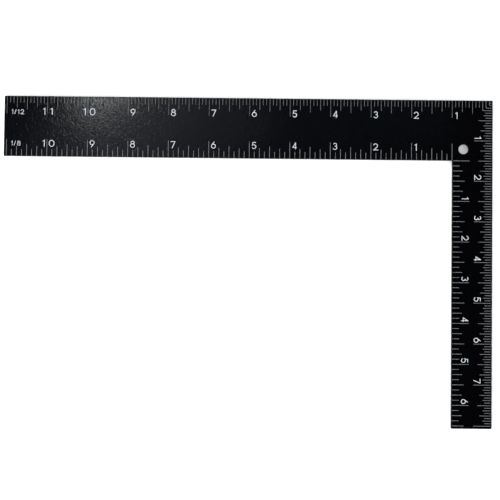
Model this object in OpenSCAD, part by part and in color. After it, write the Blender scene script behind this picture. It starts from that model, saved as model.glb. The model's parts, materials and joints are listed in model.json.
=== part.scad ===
// Carpenter's square: one blanked steel sheet with a wide leg, the blade, and a narrow
// leg, the tongue. Both faces carry engraved graduations that are filled with pale paint.
// The origin is the outside heel corner on the back face. The blade runs along -X, the
// tongue along -Y, and the front face looks along +Z.

/* [Blade] */
// Length of the blade's outer edge, from the heel to the blade's end
blade_l = 306.5; // [160:0.1:420]
// Width of the blade
blade_w = 38.1; // [36:0.1:60]

/* [Tongue] */
// Length of the tongue's outer edge, from the heel to the tongue's end
tongue_l = 205; // [110:0.1:300]
// Width of the tongue
tongue_w = 25.4; // [24:0.1:40]

/* [Sheet] */
// Thickness of the coated sheet
sheet_t = 1.6; // [1.2:0.1:4]
// Radius of the outside corners
corner_r = 0.5; // [0.3:0.1:2]
// Bevel that breaks each sharp edge
edge_break = 0.2; // [0.1:0.05:0.3]

/* [Hang hole] */
// Diameter of the hang hole
hole_d = 6; // [4:0.1:7]
// From the tongue's inner edge line to the hole's centre
hole_from_tongue = 7.1; // [5:0.1:8]
// From the blade's inner edge line to the hole's centre
hole_from_blade = 7.3; // [5:0.1:9]

/* [Graduation lines] */
// Width of a line
line_w = 0.3; // [0.2:0.05:0.6]
// Depth of a line's groove below the face
groove_d = 0.05; // [0.03:0.01:0.15]
// How far the paint stays below the face
paint_dip = 0.01; // [0.01:0.01:0.02]
// Radius of the bend where two lines join at the heel
bend_r = 0.6; // [0.4:0.05:0.8]

/* [Outer scales] */
// Length of an inch line
outer_inch = 11; // [9:0.1:12]
// Length of a half inch line
outer_half = 8.3; // [7:0.1:9]
// Length of a quarter inch line
outer_quarter = 7; // [5:0.1:7]
// Length of an eighth inch line
outer_eighth = 5.1; // [4:0.1:6]
// Length of the finest lines
outer_finest = 4.1; // [2:0.1:5]

/* [Inner scales] */
// Length of an inch line
inner_inch = 10.4; // [9:0.1:12]
// Length of a half inch line
inner_half = 7.4; // [6:0.1:9]
// Length of a quarter inch line
inner_quarter = 6.1; // [5:0.1:7]
// Length of an eighth inch line
inner_eighth = 4.2; // [2:0.1:5]

/* [Bare margins] */
// Between the blade's edges and the ends of its lines
blade_margin = 0.3; // [0.3:0.05:1]
// Between the tongue's edges and the ends of its lines
tongue_margin = 0.6; // [0.3:0.05:1]

/* [Hidden] */
$fn = 64;
eps = 0.02;
inch = 25.4;
outer_lines = [outer_inch, outer_half, outer_quarter, outer_eighth, outer_finest];
inner_lines = [inner_inch, inner_half, inner_quarter, inner_eighth, inner_eighth];
// Divisions per inch
twelfths = 12;
sixteenths = 16;
eighths = 8;
// Pairs of blade and tongue lines that join round the heel, and the number of the first
// line of each scale that is in a pair
joined_pairs = 3;
first_twelfth = 1;
first_sixteenth = 2;
paint_colour = [0.8, 0.83, 0.86];
steel_colour = [0.03, 0.03, 0.032];

// Drawings below use u, away from the heel along the blade, as x and v, away from the
// heel along the tongue, as y. This turns them into the object's own frame.
module from_heel() {
    rotate([0, 0, 180]) children();
}

// Rectangle from the origin with four rounded corners
module rounded_rectangle(size, r) {
    translate([r, 0]) square([size[0] - 2 * r, size[1]]);
    translate([0, r]) square([size[0], size[1] - 2 * r]);
    for (x = [r, size[0] - r], y = [r, size[1] - r])
        translate([x, y]) circle(r = r);
}

module outline() {
    rounded_rectangle([blade_l, blade_w], corner_r);
    rounded_rectangle([tongue_w, tongue_l], corner_r);
}

// Cutter that bevels a sharp edge running along +X from the origin. up is 1 where the
// sheet lies above the face, and -1 where it lies below.
module edge_bevel(length, up) {
    reach = edge_break + eps;
    rotate([90, 0, 90])
        linear_extrude(length)
            polygon([[-reach, -up * eps], [reach, -up * eps], [0, up * edge_break]]);
}

// All six edges of a face at z = 0
module face_bevels(up) {
    edge_bevel(blade_l, up);
    translate([tongue_w, blade_w, 0]) edge_bevel(blade_l - tongue_w, up);
    translate([0, tongue_l, 0]) edge_bevel(tongue_w, up);
    rotate([0, 0, 90]) {
        edge_bevel(tongue_l, up);
        translate([blade_w, -tongue_w, 0]) edge_bevel(tongue_l - blade_w, up);
        translate([0, -blade_l, 0]) edge_bevel(blade_w, up);
    }
}

module hang_hole() {
    wide = hole_d / 2 + edge_break + eps;
    narrow = hole_d / 2;
    cone_h = edge_break + eps;
    translate([tongue_w - hole_from_tongue, blade_w - hole_from_blade, 0]) {
        translate([0, 0, -eps]) cylinder(r = narrow, h = sheet_t + 2 * eps);
        translate([0, 0, -eps]) cylinder(r1 = wide, r2 = narrow, h = cone_h);
        translate([0, 0, sheet_t - edge_break]) cylinder(r1 = narrow, r2 = wide, h = cone_h);
    }
}

// Length of line i of a scale. lengths holds inch, half, quarter, eighth and finest.
function line_length(i, per_inch, lengths) =
    i % per_inch == 0 ? lengths[0]
    : 2 * i % per_inch == 0 ? lengths[1]
    : 4 * i % per_inch == 0 ? lengths[2]
    : 8 * i % per_inch == 0 ? lengths[3]
    : lengths[4];

// Number of lines in the whole half inches that fit on an edge
function line_count(edge_l, per_inch) =
    floor((edge_l - line_w) / (inch / 2)) * per_inch / 2;

// Lines that stand on the edge y = 0, with zero at x = 0
module scale_lines(edge_l, per_inch, lengths, margin, first = 0) {
    for (i = [first:line_count(edge_l, per_inch)])
        translate([i * inch / per_inch - line_w / 2, margin])
            square([line_w, line_length(i, per_inch, lengths)]);
}

// The outer scales start after the lines that are joined at the heel.
module blade_outer_scale(per_inch, first) {
    scale_lines(blade_l, per_inch, outer_lines, blade_margin, first + joined_pairs);
}

module blade_inner_scale(per_inch) {
    translate([tongue_w, blade_w])
        mirror([0, 1])
            scale_lines(blade_l - tongue_w, per_inch, inner_lines, blade_margin);
}

module tongue_outer_scale(per_inch, first) {
    rotate(90)
        mirror([0, 1])
            scale_lines(tongue_l, per_inch, outer_lines, tongue_margin, first + joined_pairs);
}

module tongue_inner_scale(per_inch) {
    translate([tongue_w, blade_w])
        rotate(90)
            scale_lines(tongue_l - blade_w, per_inch, inner_lines, tongue_margin);
}

// Rectangle from the origin whose far corner is rounded
module round_far_corner(x, y, r) {
    square([x - r, y]);
    square([x, y - r]);
    translate([x - r, y - r]) circle(r = r);
}

// Rounded to a thousandth, so that straight and round stretches meet exactly
function neat(x) = round(x * 1000) / 1000;

// A blade line at u and a tongue line at v that join in a round bend
module joined_lines(u, v) {
    half = line_w / 2;
    x = neat(u - tongue_margin);
    y = neat(v - blade_margin);
    translate([tongue_margin, blade_margin])
        difference() {
            round_far_corner(x + half, y + half, bend_r + half);
            round_far_corner(x - half, y - half, bend_r - half);
        }
}

// Marks in the heel: a dash for the tongue's first sixteenth, then the joined pairs
module heel_marks(per_inch, first) {
    dash_end = first * inch / per_inch - line_w;
    translate([tongue_margin, inch / sixteenths - line_w / 2])
        square([dash_end - tongue_margin, line_w]);
    for (i = [0:joined_pairs - 1])
        joined_lines((first + i) * inch / per_inch, (first_sixteenth + i) * inch / sixteenths);
}

module front_lines() {
    blade_outer_scale(twelfths, first_twelfth);
    blade_inner_scale(eighths);
    tongue_outer_scale(sixteenths, first_sixteenth);
    tongue_inner_scale(eighths);
    heel_marks(twelfths, first_twelfth);
}

module back_lines() {
    blade_outer_scale(sixteenths, first_sixteenth);
    blade_inner_scale(eighths);
    tongue_outer_scale(sixteenths, first_sixteenth);
    tongue_inner_scale(eighths);
    heel_marks(sixteenths, first_sixteenth);
}

// Paint that fills the grooves in the front face
module front_paint() {
    color(paint_colour)
        from_heel()
            translate([0, 0, sheet_t - groove_d])
                linear_extrude(groove_d - paint_dip) children();
}

// Paint that fills the grooves in the back face
module back_paint() {
    color(paint_colour)
        from_heel()
            translate([0, 0, paint_dip])
                linear_extrude(groove_d - paint_dip) children();
}

module steel_plate() {
    color(steel_colour)
        from_heel()
            difference() {
                linear_extrude(sheet_t) outline();
                face_bevels(1);
                translate([0, 0, sheet_t]) face_bevels(-1);
                hang_hole();
                translate([0, 0, sheet_t - groove_d])
                    linear_extrude(groove_d + eps) front_lines();
                translate([0, 0, -eps])
                    linear_extrude(groove_d + eps) back_lines();
            }
}

module blade_outer_twelfths_front() {
    front_paint() blade_outer_scale(twelfths, first_twelfth);
}

module blade_inner_eighths_front() {
    front_paint() blade_inner_scale(eighths);
}

module tongue_outer_sixteenths_front() {
    front_paint() tongue_outer_scale(sixteenths, first_sixteenth);
}

module tongue_inner_eighths_front() {
    front_paint() tongue_inner_scale(eighths);
}

module heel_marks_front() {
    front_paint() heel_marks(twelfths, first_twelfth);
}

module blade_outer_sixteenths_back() {
    back_paint() blade_outer_scale(sixteenths, first_sixteenth);
}

module blade_inner_eighths_back() {
    back_paint() blade_inner_scale(eighths);
}

module tongue_outer_sixteenths_back() {
    back_paint() tongue_outer_scale(sixteenths, first_sixteenth);
}

module tongue_inner_eighths_back() {
    back_paint() tongue_inner_scale(eighths);
}

module heel_marks_back() {
    back_paint() heel_marks(sixteenths, first_sixteenth);
}

steel_plate();
blade_outer_twelfths_front();
blade_inner_eighths_front();
tongue_outer_sixteenths_front();
tongue_inner_eighths_front();
heel_marks_front();
blade_outer_sixteenths_back();
blade_inner_eighths_back();
tongue_outer_sixteenths_back();
tongue_inner_eighths_back();
heel_marks_back();
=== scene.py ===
# %% [markdown]
# # A carpenter's square
# The real object is one sheet of steel. A press blanks it to an L, punches the hang hole
# and rolls the scales into both faces. It is then powder coated, and pale paint is wiped
# into the engraved lines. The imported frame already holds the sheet, its grooves and the
# paint in them, at their real size. What is left for Blender is the finish of each
# surface and the numerals, which are a printed film of ink.

# %% Load the frame
import json
import math

import bmesh
import bpy
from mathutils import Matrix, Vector
from mathutils.geometry import delaunay_2d_cdt


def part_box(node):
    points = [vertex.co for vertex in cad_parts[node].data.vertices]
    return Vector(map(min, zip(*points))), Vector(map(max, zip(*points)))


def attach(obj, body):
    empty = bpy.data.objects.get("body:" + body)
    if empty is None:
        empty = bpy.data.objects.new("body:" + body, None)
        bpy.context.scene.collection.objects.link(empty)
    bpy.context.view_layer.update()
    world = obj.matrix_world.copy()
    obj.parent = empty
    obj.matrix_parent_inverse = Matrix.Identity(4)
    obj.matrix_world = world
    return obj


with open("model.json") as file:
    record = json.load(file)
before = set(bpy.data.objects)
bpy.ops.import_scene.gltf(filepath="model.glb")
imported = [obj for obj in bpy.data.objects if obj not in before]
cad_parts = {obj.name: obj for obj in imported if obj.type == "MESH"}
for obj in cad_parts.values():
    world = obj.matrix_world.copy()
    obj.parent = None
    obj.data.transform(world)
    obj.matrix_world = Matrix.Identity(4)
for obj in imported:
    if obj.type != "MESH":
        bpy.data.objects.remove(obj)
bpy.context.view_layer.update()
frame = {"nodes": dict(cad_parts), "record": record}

MM = 0.001
INCH = 25.4 * MM
X_AXIS = Vector((1, 0, 0))
Y_AXIS = Vector((0, 1, 0))
Z_AXIS = Vector((0, 0, 1))

plate_low, plate_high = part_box("steel_plate")
plate_size = plate_high - plate_low
print("plate, mm:", [round(side / MM, 2) for side in plate_size])

# %% [markdown]
# ## Where the scales start
# The outer scales count from the outside heel corner, which is the frame's origin. The
# inner scales count from the inside corner. Its place is where the two inner edges meet,
# and the record gives a mount on each of them.

# %% Corners of the square
mounts = {mount["name"]: Vector(mount["pos_m"]) for mount in frame["record"]["mounts"]}
heel_corner = Vector((0, 0, 0))
inner_corner = Vector((mounts["tongue_inner_edge"].x, mounts["blade_inner_edge"].y, 0))
blade_width = -inner_corner.y
tongue_width = -inner_corner.x
print("blade and tongue width, mm:", round(blade_width / MM, 2), round(tongue_width / MM, 2))

# %% [markdown]
# ## Strokes of the numerals
# A numeral on a square is drawn with an even stroke, from straight runs and arcs. A font
# would give other shapes, and a curve object with a round bevel would give tubes. So each
# character is a few centre lines, one unit high, and a ribbon of even width follows each
# of them.

# %% Lines and arcs
STROKE = 0.095
HALF = STROKE / 2
ARC_STEP = 12


def line(*points):
    """A path through points given as (x, y) pairs."""
    return [Vector(point) for point in points]


def arc(centre, radius, start, end, height=None):
    """Points of an arc from start to end, in degrees. height makes it an ellipse."""
    count = max(2, math.ceil(abs(end - start) / ARC_STEP))
    angles = [math.radians(start + (end - start) * i / count) for i in range(count + 1)]
    tall = radius if height is None else height
    x, y = centre
    return [Vector((x + radius * math.cos(a), y + tall * math.sin(a))) for a in angles]


def tangent_angle(centre, radius, point):
    """Where a line from an outside point touches a circle on its left, in degrees."""
    away = Vector(point) - Vector(centre)
    return math.degrees(math.atan2(away.y, away.x) + math.acos(radius / away.length))


# %% [markdown]
# ## The characters
# The six and the nine are one shape, turned over. It is a full circle with a straight
# stem that touches it. A stem that should end level with the top runs a little past it,
# and is clipped there later, as a type maker cuts a stroke to the line.

# %% Centre lines of each character
BOWL = (0.4, 0.345)
BOWL_RADIUS = 0.298
STEM_TOP = (0.56, 1.06)


def six():
    touch = arc(BOWL, BOWL_RADIUS, tangent_angle(BOWL, BOWL_RADIUS, STEM_TOP), 360)[0]
    return [line(STEM_TOP, touch), arc(BOWL, BOWL_RADIUS, 0, 360)]


def turned(paths, centre):
    """The same paths after half a turn about a point."""
    return [[2 * Vector(centre) - point for point in path] for path in paths]


CHARACTERS = {
    "0": [arc((0.41, 0.5), 0.36, 0, 360, 0.45)],
    "1": [line((0.3, 0), (0.3, 1)), line((0.07, 0.79), (0.3, 0.93))],
    "2": [arc((0.36, 0.66), 0.285, 172, -38, 0.292) + line((0.12, HALF), (0.76, HALF))],
    "3": [arc((0.34, 0.742), 0.24, 158, -90, 0.21), arc((0.34, 0.29), 0.275, 90, -158, 0.242)],
    "4": [line((0.51, 0), (0.51, 1)), line((0.56, 1.06), (0.1, 0.28), (0.7, 0.28))],
    "5": [line((0.65, 1 - HALF), (0.19, 1 - HALF)) + arc((0.34, 0.33), 0.285, 140, -152, 0.282)],
    "6": six(),
    "7": [line((0.0, 1 - HALF), (0.62, 1 - HALF), (0.2, -0.06))],
    "8": [arc((0.38, 0.752), 0.25, 0, 360, 0.2), arc((0.38, 0.3), 0.31, 0, 360, 0.252)],
    "9": turned(six(), (0.4, 0.5)),
    "/": [line((0.0, -0.1), (0.36, 1.1))],
}
print("characters:", " ".join(CHARACTERS))

# %% [markdown]
# ## From centre lines to one flat shape
# The ribbon's sides are mitred at each bend, so that a bend keeps its width. The ribbons
# of one character overlap where strokes cross. Drawn as they are, the overlaps would
# shade twice, so a constrained triangulation joins them into one outline.

# %% Ribbons and their union
KEEP_INSIDE = 1
MERGE_DISTANCE = 1e-5


def ribbon(path, half_width):
    """Four-sided pieces that follow a path at an even width."""
    closed = (path[0] - path[-1]).length < 1e-6
    runs = [(b - a).normalized() for a, b in zip(path, path[1:])]
    before = [runs[-1] if closed else runs[0]] + runs
    after = runs + [runs[0] if closed else runs[-1]]
    left, right = [], []
    for point, run_in, run_out in zip(path, before, after):
        normal_in = Vector((-run_in.y, run_in.x))
        normal_out = Vector((-run_out.y, run_out.x))
        mitre = (normal_in + normal_out) / (1 + normal_in.dot(normal_out)) * half_width
        left.append(point + mitre)
        right.append(point - mitre)
    return [[right[i], right[i + 1], left[i + 1], left[i]] for i in range(len(runs))]


def clipped(polygon, level, side):
    """The part of a polygon above a level, where side is 1, or below it, where it is -1."""
    kept = []
    for a, b in zip(polygon, polygon[1:] + polygon[:1]):
        over_a, over_b = side * (a.y - level), side * (b.y - level)
        if over_a >= 0:
            kept.append(a)
        if over_a * over_b < 0:
            kept.append(a.lerp(b, over_a / (over_a - over_b)))
    return kept


def flat_shape(paths):
    """Points and triangles of a character, its strokes joined, between the levels 0 and 1."""
    points, polygons = [], []
    for path in paths:
        for piece in ribbon(path, HALF):
            piece = clipped(clipped(piece, 0, 1), 1, -1)
            if len(piece) > 2:
                polygons.append(list(range(len(points), len(points) + len(piece))))
                points += piece
    result = delaunay_2d_cdt(points, [], polygons, KEEP_INSIDE, MERGE_DISTANCE)
    corners, triangles, origins = result[0], result[2], result[5]
    return corners, [t for t, inside in zip(triangles, origins) if inside]


shapes = {character: flat_shape(paths) for character, paths in CHARACTERS.items()}
left_side = {c: min(p.x for p in shape[0]) for c, shape in shapes.items()}
right_side = {c: max(p.x for p in shape[0]) for c, shape in shapes.items()}
print("triangles in each character:", {c: len(shape[1]) for c, shape in shapes.items()})

# %% [markdown]
# ## Ink with a body
# Printed ink is a film two or three hundredths of a millimetre thick with a sloping rim.
# A plane would be enough to show its colour. A closed film also catches light on its rim
# and stays a solid when it is exported.

# %% A film of ink
INK_THICKNESS = 0.02 * MM
INK_RIM = 0.025 * MM


def ink_film(name, marks, normal):
    """One piece with every (character, left foot, right, up, height) of marks printed."""
    mesh = bmesh.new()
    for character, foot, right, up, height in marks:
        corners, triangles = shapes[character]
        placed = [mesh.verts.new(foot + (right * p.x + up * p.y) * height) for p in corners]
        for triangle in triangles:
            mesh.faces.new([placed[i] for i in triangle])
    mesh.verts.ensure_lookup_table()
    loose = [vertex for vertex in mesh.verts if not vertex.link_faces]
    bmesh.ops.delete(mesh, geom=loose, context="VERTS")
    raised = bmesh.ops.extrude_face_region(mesh, geom=mesh.faces[:], use_keep_orig=True)["geom"]
    lifted = [item for item in raised if isinstance(item, bmesh.types.BMVert)]
    bmesh.ops.translate(mesh, verts=lifted, vec=normal * INK_THICKNESS)
    bmesh.ops.recalc_face_normals(mesh, faces=mesh.faces[:])
    top = [item for item in raised if isinstance(item, bmesh.types.BMFace)]
    bmesh.ops.inset_region(mesh, faces=top, thickness=INK_RIM, depth=INK_THICKNESS / 2)
    data = bpy.data.meshes.new(name)
    mesh.to_mesh(data)
    mesh.free()
    piece = bpy.data.objects.new(name, data)
    bpy.context.scene.collection.objects.link(piece)
    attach(piece, "root")
    print(name, "has", len(data.polygons), "faces")
    return piece


# %% [markdown]
# ## Where a numeral stands
# On both legs a numeral's head points to the outer edge. Its foot is level with the end of
# the outer scale's inch lines, or its head is level with the end of the inner scale's, give
# or take a fraction of a millimetre. It stands on the heel side of its own inch line, and a
# narrow 1 stands closer. Ten and eleven are wider than the room there, so their tens stand
# on the other side of the line.

# %% Set out the numerals of one scale
NUMERAL_HEIGHT = 4.3 * MM
BLADE_SHIFT = 2.95 * MM
TONGUE_SHIFT = 2.4 * MM
ONE_CLOSER = 0.35 * MM
TENS_STEM = 1.6 * MM


def centred(character, middle, right, up, height):
    """A mark whose character is centred on a point of its foot line."""
    half_way = (left_side[character] + right_side[character]) / 2
    return (character, middle - right * half_way * height, right, up, height)


def numerals(node, last, start, up, normal, inward):
    """Marks for the numbers 1 to last of a scale. inward moves them away from its edge."""
    low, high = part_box(node)
    heelward = Vector((up.y, up.x, 0))
    right = up.cross(normal)
    shift = BLADE_SHIFT if up == Y_AXIS else TONGUE_SHIFT
    if "outer" in node:
        foot_level = low.dot(up) - inward
    else:
        foot_level = high.dot(up) - NUMERAL_HEIGHT + inward
    face_level = plate_high.z if normal.z > 0 else plate_low.z
    marks = []
    for number in range(1, last + 1):
        on_line = heelward * (start.dot(heelward) - number * INCH)
        foot = on_line + up * foot_level + Z_AXIS * face_level
        ones = str(number)[-1]
        aside = shift - ONE_CLOSER if ones == "1" else shift
        side = heelward if number < 10 else right
        marks.append(centred(ones, foot + side * aside, right, up, NUMERAL_HEIGHT))
        if number > 9:
            stem = CHARACTERS["1"][0][0].x * NUMERAL_HEIGHT
            marks.append(("1", foot - right * (TENS_STEM + stem), right, up, NUMERAL_HEIGHT))
    return marks


# %% Print the numerals of all eight scales
SCALES = {  # last number, start, up, normal, how far inward
    "blade_outer_twelfths_front": (11, heel_corner, Y_AXIS, Z_AXIS, 0.5 * MM),
    "blade_inner_eighths_front": (10, inner_corner, Y_AXIS, Z_AXIS, -0.3 * MM),
    "tongue_outer_sixteenths_front": (7, heel_corner, X_AXIS, Z_AXIS, -0.2 * MM),
    "tongue_inner_eighths_front": (6, inner_corner, X_AXIS, Z_AXIS, -0.45 * MM),
    "blade_outer_sixteenths_back": (11, heel_corner, Y_AXIS, -Z_AXIS, 0.5 * MM),
    "blade_inner_eighths_back": (10, inner_corner, Y_AXIS, -Z_AXIS, -0.3 * MM),
    "tongue_outer_sixteenths_back": (7, heel_corner, X_AXIS, -Z_AXIS, -0.2 * MM),
    "tongue_inner_eighths_back": (6, inner_corner, X_AXIS, -Z_AXIS, -0.45 * MM),
}

ink_pieces = []
for node, (last, start, up, normal, inward) in SCALES.items():
    marks = numerals(node, last, start, up, normal, inward)
    ink_pieces.append(ink_film("numerals_" + node, marks, normal))

# %% [markdown]
# ## Which fraction a scale shows
# Near the blade's end each scale says what its lines divide the inch into. A plain
# fraction in small numbers does that without a word.

# %% Fractions at the blade's end
LABEL_HEIGHT = 3.0 * MM
LETTER_GAP = 0.85 * MM
LABEL_FROM_LINE = 2.9 * MM
OUTER_LABEL_FOOT = 11.6 * MM
INNER_LABEL_FOOT = 6.7 * MM


def label(text, foot, right):
    """Marks for a short text whose left foot is given."""
    marks = []
    for character in text:
        place = foot - right * left_side[character] * LABEL_HEIGHT
        marks.append((character, place, right, Y_AXIS, LABEL_HEIGHT))
        foot = foot + right * (right_side[character] - left_side[character]) * LABEL_HEIGHT
        foot = foot + right * LETTER_GAP
    return marks


def label_width(text):
    glyphs = sum(right_side[c] - left_side[c] for c in text) * LABEL_HEIGHT
    return glyphs + LETTER_GAP * (len(text) - 1)


LABELS = {  # text, level of its foot, normal
    "label_twelfths_front": ("1/12", -OUTER_LABEL_FOOT, Z_AXIS),
    "label_eighths_front": ("1/8", -blade_width + INNER_LABEL_FOOT, Z_AXIS),
    "label_sixteenths_back": ("1/16", -OUTER_LABEL_FOOT, -Z_AXIS),
    "label_eighths_back": ("1/8", -blade_width + INNER_LABEL_FOOT, -Z_AXIS),
}

last_line = -12 * INCH
for name, (text, foot_level, normal) in LABELS.items():
    right = Y_AXIS.cross(normal)
    from_line = LABEL_FROM_LINE if right.x > 0 else LABEL_FROM_LINE + label_width(text)
    face_level = plate_high.z if normal.z > 0 else plate_low.z
    foot = Vector((last_line + from_line, foot_level, face_level))
    ink_pieces.append(ink_film(name, label(text, foot, right), normal))

# %% [markdown]
# ## Building materials from nodes
# A material is a graph. A few small helpers keep each graph short. The first adds a node
# and fills its sockets with numbers or links, and the others build on it: a sum, a smooth
# step, a mix of two colours, and a group that several materials can use.

# %% Node helpers
def add(tree, kind, sockets, **settings):
    """A shader node of a kind. sockets holds a number, colour or link for each input."""
    node = tree.nodes.new("ShaderNode" + kind)
    for name, value in settings.items():
        setattr(node, name, value)
    for name, value in sockets.items():
        if isinstance(value, bpy.types.NodeSocket):
            tree.links.new(value, node.inputs[name])
        else:
            node.inputs[name].default_value = value
    return node


def math_node(tree, operation, *values):
    sockets = dict(enumerate(values))
    return add(tree, "Math", sockets, operation=operation).outputs[0]


def smooth_step(tree, value, low, high):
    """0 where value is at low, 1 where it is at high. low may be the greater of the two."""
    sockets = {"Value": value, "From Min": low, "From Max": high}
    return add(tree, "MapRange", sockets, interpolation_type="SMOOTHSTEP").outputs["Result"]


def blend(tree, factor, first, second):
    """A colour that turns from first into second as factor goes from 0 to 1."""
    mix = add(tree, "Mix", {"Factor": factor}, data_type="RGBA")
    for socket, colour in zip([s for s in mix.inputs if s.type == "RGBA"], (first, second)):
        if isinstance(colour, bpy.types.NodeSocket):
            tree.links.new(colour, socket)
        else:
            socket.default_value = colour
    return next(s for s in mix.outputs if s.type == "RGBA")


def new_group(name, inputs, outputs):
    """An empty node group with named value inputs and outputs."""
    tree = bpy.data.node_groups.new(name, "ShaderNodeTree")
    for socket in inputs:
        tree.interface.new_socket(socket, in_out="INPUT", socket_type="NodeSocketFloat")
    for socket in outputs:
        tree.interface.new_socket(socket, in_out="OUTPUT", socket_type="NodeSocketFloat")
    given = tree.nodes.new("NodeGroupInput").outputs
    result = tree.nodes.new("NodeGroupOutput").inputs
    return tree, given, result


def use_group(tree, group, values):
    """A group placed in a material with its own values."""
    node = tree.nodes.new("ShaderNodeGroup")
    node.node_tree = group
    for name, value in values.items():
        node.inputs[name].default_value = value
    return node.outputs


# %% [markdown]
# ## Orange peel
# Powder melts into a skin of low pebbles, about a millimetre apart, which run together
# here and there. Their tops are almost flat and their rims fall away steeply, so it is
# the rims that catch a lamp. Cells give the pebbles, the distance from a cell's middle
# raised to a power gives the flat tops, and soft noise bends and merges them. The height
# drives a bump, and the hollows between pebbles are a little duller.

# %% Node group: orange peel
FLATNESS = 3.0
SOFT_SHARE = 0.3

peel_group, given, result = new_group(
    "orange_peel", ["Pebbles per metre", "Flow"], ["Height", "Hollow"]
)
place = add(peel_group, "TexCoord", {}).outputs["Object"]
drift = add(peel_group, "TexNoise", {"Vector": place, "Scale": 400, "Detail": 1}).outputs["Color"]
drift = add(peel_group, "VectorMath", {0: drift, 1: (0.5, 0.5, 0.5)}, operation="SUBTRACT")
flow = math_node(peel_group, "DIVIDE", given["Flow"], given["Pebbles per metre"])
drift = add(peel_group, "VectorMath", {0: drift.outputs[0], "Scale": flow}, operation="SCALE")
bent = add(peel_group, "VectorMath", {0: place, 1: drift.outputs[0]}).outputs[0]
cells = add(
    peel_group,
    "TexVoronoi",
    {"Vector": bent, "Scale": given["Pebbles per metre"], "Smoothness": 0.7},
    feature="SMOOTH_F1",
)
soft = add(
    peel_group,
    "TexNoise",
    {"Vector": bent, "Scale": given["Pebbles per metre"], "Detail": 2, "Roughness": 0.45},
)
rim = math_node(peel_group, "POWER", cells.outputs["Distance"], FLATNESS)
pebble = math_node(peel_group, "SUBTRACT", 1.0, rim)
height = math_node(peel_group, "MULTIPLY_ADD", soft.outputs[0], SOFT_SHARE, pebble)
hollow = smooth_step(peel_group, height, low=1.05, high=0.9)
peel_group.links.new(height, result["Height"])
peel_group.links.new(hollow, result["Hollow"])

# %% [markdown]
# ## How near an edge is
# Hands and boards rub the edges first, and the coat falls off in a soft round just before
# them. Both need the distance to the nearest edge. The sheet is an L of two rectangles, so
# the distance to its outline is the greater of the distances inside the two. The hang
# hole is a circle, and its rim may be nearer. It all takes only a few sums on the
# coordinates.

# %% Node group: edges
edge_group, given, result = new_group("edges", ["Reach", "Patches", "Round"], ["Rub", "Fall"])
place = add(edge_group, "TexCoord", {}).outputs["Object"]
x, y, _ = add(edge_group, "SeparateXYZ", {"Vector": place}).outputs
hole = next(m for m in frame["record"]["mounts"] if m["name"] == "hang_hole")


def between(value, length):
    """Distance inside a strip that runs from 0 to minus length."""
    from_start = math_node(edge_group, "MULTIPLY", value, -1)
    from_end = math_node(edge_group, "ADD", value, length)
    return math_node(edge_group, "MINIMUM", from_start, from_end)


def in_rectangle(width, length):
    """Distance inside a rectangle that runs from the heel corner."""
    return math_node(edge_group, "MINIMUM", between(x, width), between(y, length))


in_blade = in_rectangle(plate_size.x, blade_width)
in_tongue = in_rectangle(tongue_width, plate_size.y)
outline = math_node(edge_group, "MAXIMUM", in_blade, in_tongue)
flat = add(edge_group, "CombineXYZ", {"X": x, "Y": y}).outputs[0]
centre = (hole["pos_m"][0], hole["pos_m"][1], 0)
to_hole = add(edge_group, "VectorMath", {0: flat, 1: centre}, operation="DISTANCE")
to_rim = math_node(edge_group, "SUBTRACT", to_hole.outputs["Value"], hole["dims"]["r_mm"] * MM)
distance = math_node(edge_group, "MINIMUM", outline, to_rim)


def nearness(reach):
    """1 on the edge, 0 at the reach and beyond it."""
    share = math_node(edge_group, "DIVIDE", distance, reach)
    return math_node(edge_group, "MAXIMUM", math_node(edge_group, "SUBTRACT", 1.0, share), 0.0)


patchy = add(edge_group, "TexNoise", {"Vector": place, "Scale": given["Patches"], "Detail": 4})
patchy = smooth_step(edge_group, patchy.outputs[0], low=0.42, high=0.68)
rub = math_node(edge_group, "MULTIPLY", nearness(given["Reach"]), patchy)
fall = math_node(edge_group, "POWER", nearness(given["Round"]), 2.0)
edge_group.links.new(rub, result["Rub"])
edge_group.links.new(fall, result["Fall"])

# %% [markdown]
# ## Handling dust
# Fine pale dust settles in specks, and faint smears are left by fingers. Both are weak on
# a new tool, but without them a black surface looks like plastic.

# %% Node group: dust and smears
dust_group, given, result = new_group(
    "dust_and_smears", ["Specks per metre", "Smears per metre"], ["Dust", "Smear"]
)
place = add(dust_group, "TexCoord", {}).outputs["Object"]
specks = add(dust_group, "TexVoronoi", {"Vector": place, "Scale": given["Specks per metre"]})
speck = smooth_step(dust_group, specks.outputs["Distance"], low=0.16, high=0.04)
rare = add(dust_group, "TexNoise", {"Vector": place, "Scale": 190, "Detail": 2})
rare = smooth_step(dust_group, rare.outputs[0], low=0.56, high=0.74)
smears = add(
    dust_group, "TexNoise", {"Vector": place, "Scale": given["Smears per metre"], "Detail": 5}
)
smear = smooth_step(dust_group, smears.outputs[0], low=0.35, high=0.75)
dust_group.links.new(math_node(dust_group, "MULTIPLY", speck, rare), result["Dust"])
dust_group.links.new(smear, result["Smear"])

# %% [markdown]
# ## Black powder coat
# The coat is almost black, and the tops of its pebbles are glossy. So the base colour is
# very dark, and the look comes from the bump: a lamp's reflection breaks up into a grainy
# patch. Hollows, smears and rubbed edges are a little duller, and rubbed edges are greyer
# too. The hollows are also painted a little darker, which is painted shade.

# %% Material: powder coat
def new_material(name):
    material = bpy.data.materials.new(name)
    material.use_nodes = True
    material.node_tree.nodes.clear()
    tree = material.node_tree
    shader = tree.nodes.new("ShaderNodeBsdfPrincipled")
    output = tree.nodes.new("ShaderNodeOutputMaterial")
    tree.links.new(shader.outputs[0], output.inputs["Surface"])
    return material, tree, shader


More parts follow.
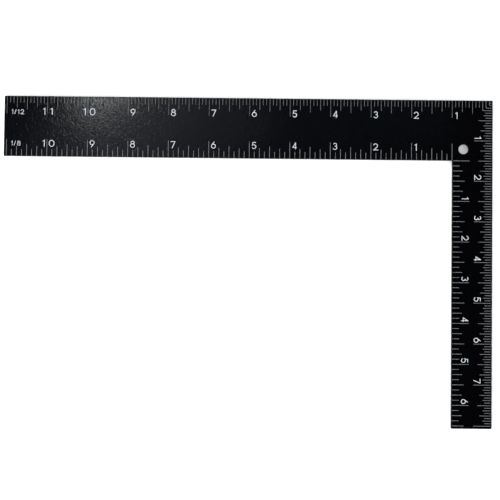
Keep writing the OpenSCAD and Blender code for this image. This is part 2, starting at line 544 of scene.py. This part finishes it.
COAT_BLACK = (0.0006, 0.0006, 0.0009, 1)
# Painted shade: the hollows between pebbles get a darker base colour.
COAT_HOLLOW_SHADE = (0.0004, 0.0004, 0.0006, 1)
COAT_RUBBED = (0.02, 0.02, 0.021, 1)
DUST_GREY = (0.05, 0.05, 0.05, 1)
HOLLOW_DULLER = 0.03
SMEAR_DULLER = 0.03
RUB_DULLER = 0.12
COAT_ROUGHNESS = 0.042
PEEL_DEPTH = 0.036 * MM
EDGE_FALL = 1.8

powder_coat, tree, shader = new_material("powder_coat")
peel = use_group(tree, peel_group, {"Pebbles per metre": 1220, "Flow": 0.35})
edge = use_group(tree, edge_group, {"Reach": 0.7 * MM, "Patches": 70, "Round": 0.6 * MM})
dust = use_group(tree, dust_group, {"Specks per metre": 1500, "Smears per metre": 28})
# The darker colour in the pebbles' hollows is painted shade.
colour = blend(tree, peel["Hollow"], COAT_BLACK, COAT_HOLLOW_SHADE)
colour = blend(tree, edge["Rub"], colour, COAT_RUBBED)
colour = blend(tree, dust["Dust"], colour, DUST_GREY)
tree.links.new(colour, shader.inputs["Base Color"])
rough = math_node(tree, "MULTIPLY_ADD", peel["Hollow"], HOLLOW_DULLER, COAT_ROUGHNESS)
rough = math_node(tree, "MULTIPLY_ADD", dust["Smear"], SMEAR_DULLER, rough)
rough = math_node(tree, "MULTIPLY_ADD", edge["Rub"], RUB_DULLER, rough)
tree.links.new(rough, shader.inputs["Roughness"])
height = math_node(tree, "MULTIPLY_ADD", edge["Fall"], -EDGE_FALL, peel["Height"])
bump = add(tree, "Bump", {"Strength": 1.0, "Distance": PEEL_DEPTH, "Height": height})
tree.links.new(bump.outputs["Normal"], shader.inputs["Normal"])

# %% [markdown]
# ## Paint in the lines and ink of the numerals
# The paint that is wiped into a line is thin, and the black shows through where it is
# thinnest. The blade's outer edge is the one that is used most, so its lines are more
# worn. The ink of the numerals is laid on top, and is fuller and whiter. One function
# makes all three, each with its own colours and cover.

# %% Materials: line paint, worn line paint and numeral ink
SMEAR_SHARE = 0.15


def pale_paint(name, full, thin, cover, roughness):
    """Pale paint. cover is how much of it hides the coat, from 0 to 1."""
    material, tree, shader = new_material(name)
    peel = use_group(tree, peel_group, {"Pebbles per metre": 1100, "Flow": 0.5})
    dust = use_group(tree, dust_group, {"Specks per metre": 2400, "Smears per metre": 60})
    bare = math_node(tree, "MULTIPLY", peel["Hollow"], 1 - cover)
    colour = blend(tree, bare, full, thin)
    smear = math_node(tree, "MULTIPLY", dust["Smear"], SMEAR_SHARE)
    colour = blend(tree, smear, colour, thin)
    tree.links.new(colour, shader.inputs["Base Color"])
    rough = math_node(tree, "MULTIPLY_ADD", dust["Smear"], SMEAR_SHARE, roughness)
    tree.links.new(rough, shader.inputs["Roughness"])
    bump = add(tree, "Bump", {"Strength": 0.6, "Distance": 0.01 * MM, "Height": peel["Height"]})
    tree.links.new(bump.outputs["Normal"], shader.inputs["Normal"])
    return material


PAINTS = {  # colour where full, colour where thin, cover, roughness
    "line_paint": ((0.127, 0.135, 0.141, 1), (0.045, 0.048, 0.049, 1), 0.4, 0.55),
    "worn_line_paint": ((0.09, 0.096, 0.1, 1), (0.029, 0.03, 0.032, 1), 0.3, 0.6),
    "numeral_ink": ((0.41, 0.447, 0.484, 1), (0.271, 0.295, 0.32, 1), 0.7, 0.5),
}
paints = {name: pale_paint(name, *values) for name, values in PAINTS.items()}

# %% Give every piece its finish
def finish(piece, material):
    piece.data.materials.clear()
    piece.data.materials.append(material)


for node, piece in frame["nodes"].items():
    if node == "steel_plate":
        finish(piece, powder_coat)
    else:
        finish(piece, paints["worn_line_paint" if "blade_outer" in node else "line_paint"])
for piece in ink_pieces:
    finish(piece, paints["numeral_ink"])
print("materials:", [material.name for material in bpy.data.materials])

# %% [markdown]
# ## Floor and light
# The square lies on a plain white table. A glossy black sheet mirrors whatever stands
# around it, and a bright panel would turn it white. So the low panels that light the table
# give no gloss, as if they were polarised. Four stand around the square, and the lowest
# one shines into its inside corner, where two of the others can't reach. A softbox
# overhead is the only lamp that the sheet mirrors, near the blade's far end. It is
# brightest in front of its bulb and fades toward its rim and into the cooler light of the
# room. Nested lamps make that fade.

# %% Floor
TABLE_WHITE = (0.9, 0.9, 0.9, 1)
TABLE_GRAIN = (0.86, 0.86, 0.86, 1)
FLOOR_SIZE = 2.3
FLOOR_GAP = 0.05 * MM

bpy.ops.mesh.primitive_plane_add(size=FLOOR_SIZE, location=(0, 0, plate_low.z - FLOOR_GAP))
floor = bpy.context.object
floor.name = "floor"
white_table, tree, shader = new_material("white_table")
grain = add(tree, "TexNoise", {"Scale": 900, "Detail": 3})
colour = blend(tree, grain.outputs[0], TABLE_GRAIN, TABLE_WHITE)
tree.links.new(colour, shader.inputs["Base Color"])
shader.inputs["Roughness"].default_value = 0.8
shader.inputs["Specular IOR Level"].default_value = 0.1
finish(floor, white_table)

# %% Lights
middle = (plate_low + plate_high) / 2


def area_light(name, place, width, height, power, gloss=True):
    """A soft lamp that faces the middle of the square. gloss is whether things mirror it."""
    lamp = bpy.data.lights.new(name, "AREA")
    lamp.shape = "RECTANGLE"
    lamp.size = width
    lamp.size_y = height
    lamp.energy = power
    lamp_object = bpy.data.objects.new(name, lamp)
    lamp_object.location = place
    lamp_object.visible_glossy = gloss
    aim = middle - Vector(place)
    lamp_object.rotation_euler = aim.to_track_quat("-Z", "Y").to_euler()
    bpy.context.scene.collection.objects.link(lamp_object)
    return lamp


PANEL_REACH = 1.6
PANEL_WIDTH = 2.0
PANELS = (  # name, side in x and y, raise, height, power
    ("left", (-1, 0), 0.7, 0.8, 37),
    ("right", (1, 0), 0.7, 0.8, 37),
    ("far", (0, 1), 0.7, 0.8, 37),
    ("near", (0, -1), 0.7, 0.8, 37),
    ("inside", (-0.7, -0.7), 0.34, 0.3, 70),
)

SOFTBOX_RAISE = 1.2
SOFTBOX = (  # name, x, y, width, height, power per area, warmth
    ("core", -0.407, 0.212, 0.06, 0.042, 21.5, 0.95),
    ("inner", -0.396, 0.196, 0.12, 0.07, 1.5, 0.95),
    ("middle", -0.360, 0.164, 0.19, 0.14, 0.75, 0.9),
    ("rim", -0.325, 0.140, 0.36, 0.22, 0.65, 0.8),
    ("room", -0.215, 0.175, 0.77, 0.25, 0.20, 0.7),
)
for name, side, rise, height, power in PANELS:
    place = middle + Vector((*side, 0)) * PANEL_REACH + Z_AXIS * rise
    area_light("panel_" + name, place, PANEL_WIDTH, height, power, gloss=False)
for name, x, y, width, height, glow, warmth in SOFTBOX:
    power = glow * width * height
    lamp = area_light("softbox_" + name, (x, y, SOFTBOX_RAISE), width, height, power)
    lamp.color = (warmth, (1 + warmth) / 2, 1)
print("lamps:", [lamp.name for lamp in bpy.data.lights])

# %% [markdown]
# ## The room
# The room above is dark, so that it adds nothing to the black of the sheet. Its walls are
# pale but far off. They light nothing, yet the sheet mirrors them at a low angle, and that
# sheen shows the grain of the coat. Past the edge of the table the camera sees white, as
# before a seamless paper backdrop. The kind of ray tells the three apart.

# %% World
DARK_CEILING = (0.01, 0.011, 0.014, 1)
PALE_WALLS = (0.2, 0.206, 0.217, 1)
PAPER_WHITE = (1, 1, 1, 1)

world = bpy.data.worlds.new("dim_room")
world.use_nodes = True
tree = world.node_tree
ray = add(tree, "LightPath", {}).outputs
direction = add(tree, "TexCoord", {}).outputs["Generated"]
rise = add(tree, "SeparateXYZ", {"Vector": direction}).outputs["Z"]
wall = smooth_step(tree, rise, low=0.8, high=0.2)
mirrored = math_node(tree, "MULTIPLY", wall, ray["Is Glossy Ray"])
colour = blend(tree, mirrored, DARK_CEILING, PALE_WALLS)
colour = blend(tree, ray["Is Camera Ray"], colour, PAPER_WHITE)
tree.links.new(colour, tree.nodes["Background"].inputs["Color"])
bpy.context.scene.world = world
bpy.context.scene.view_settings.view_transform = "Standard"

# %% [markdown]
# ## Camera
# The camera looks straight down through a long lens, a touch out of level, so that the
# tongue's end is a little nearer than the blade.

# %% Camera
LENS_MM = 86.4
CAMERA_PLACE = (-0.14685, -0.1252, 0.7506)
CAMERA_TURN = (2.281, 0.306, 0.663)  # degrees about x, y and z

camera_data = bpy.data.cameras.new("camera")
camera_data.sensor_width = 36
camera_data.lens = LENS_MM
camera = bpy.data.objects.new("camera", camera_data)
camera.location = CAMERA_PLACE
camera.rotation_euler = [math.radians(angle) for angle in CAMERA_TURN]
bpy.context.scene.collection.objects.link(camera)
bpy.context.scene.camera = camera
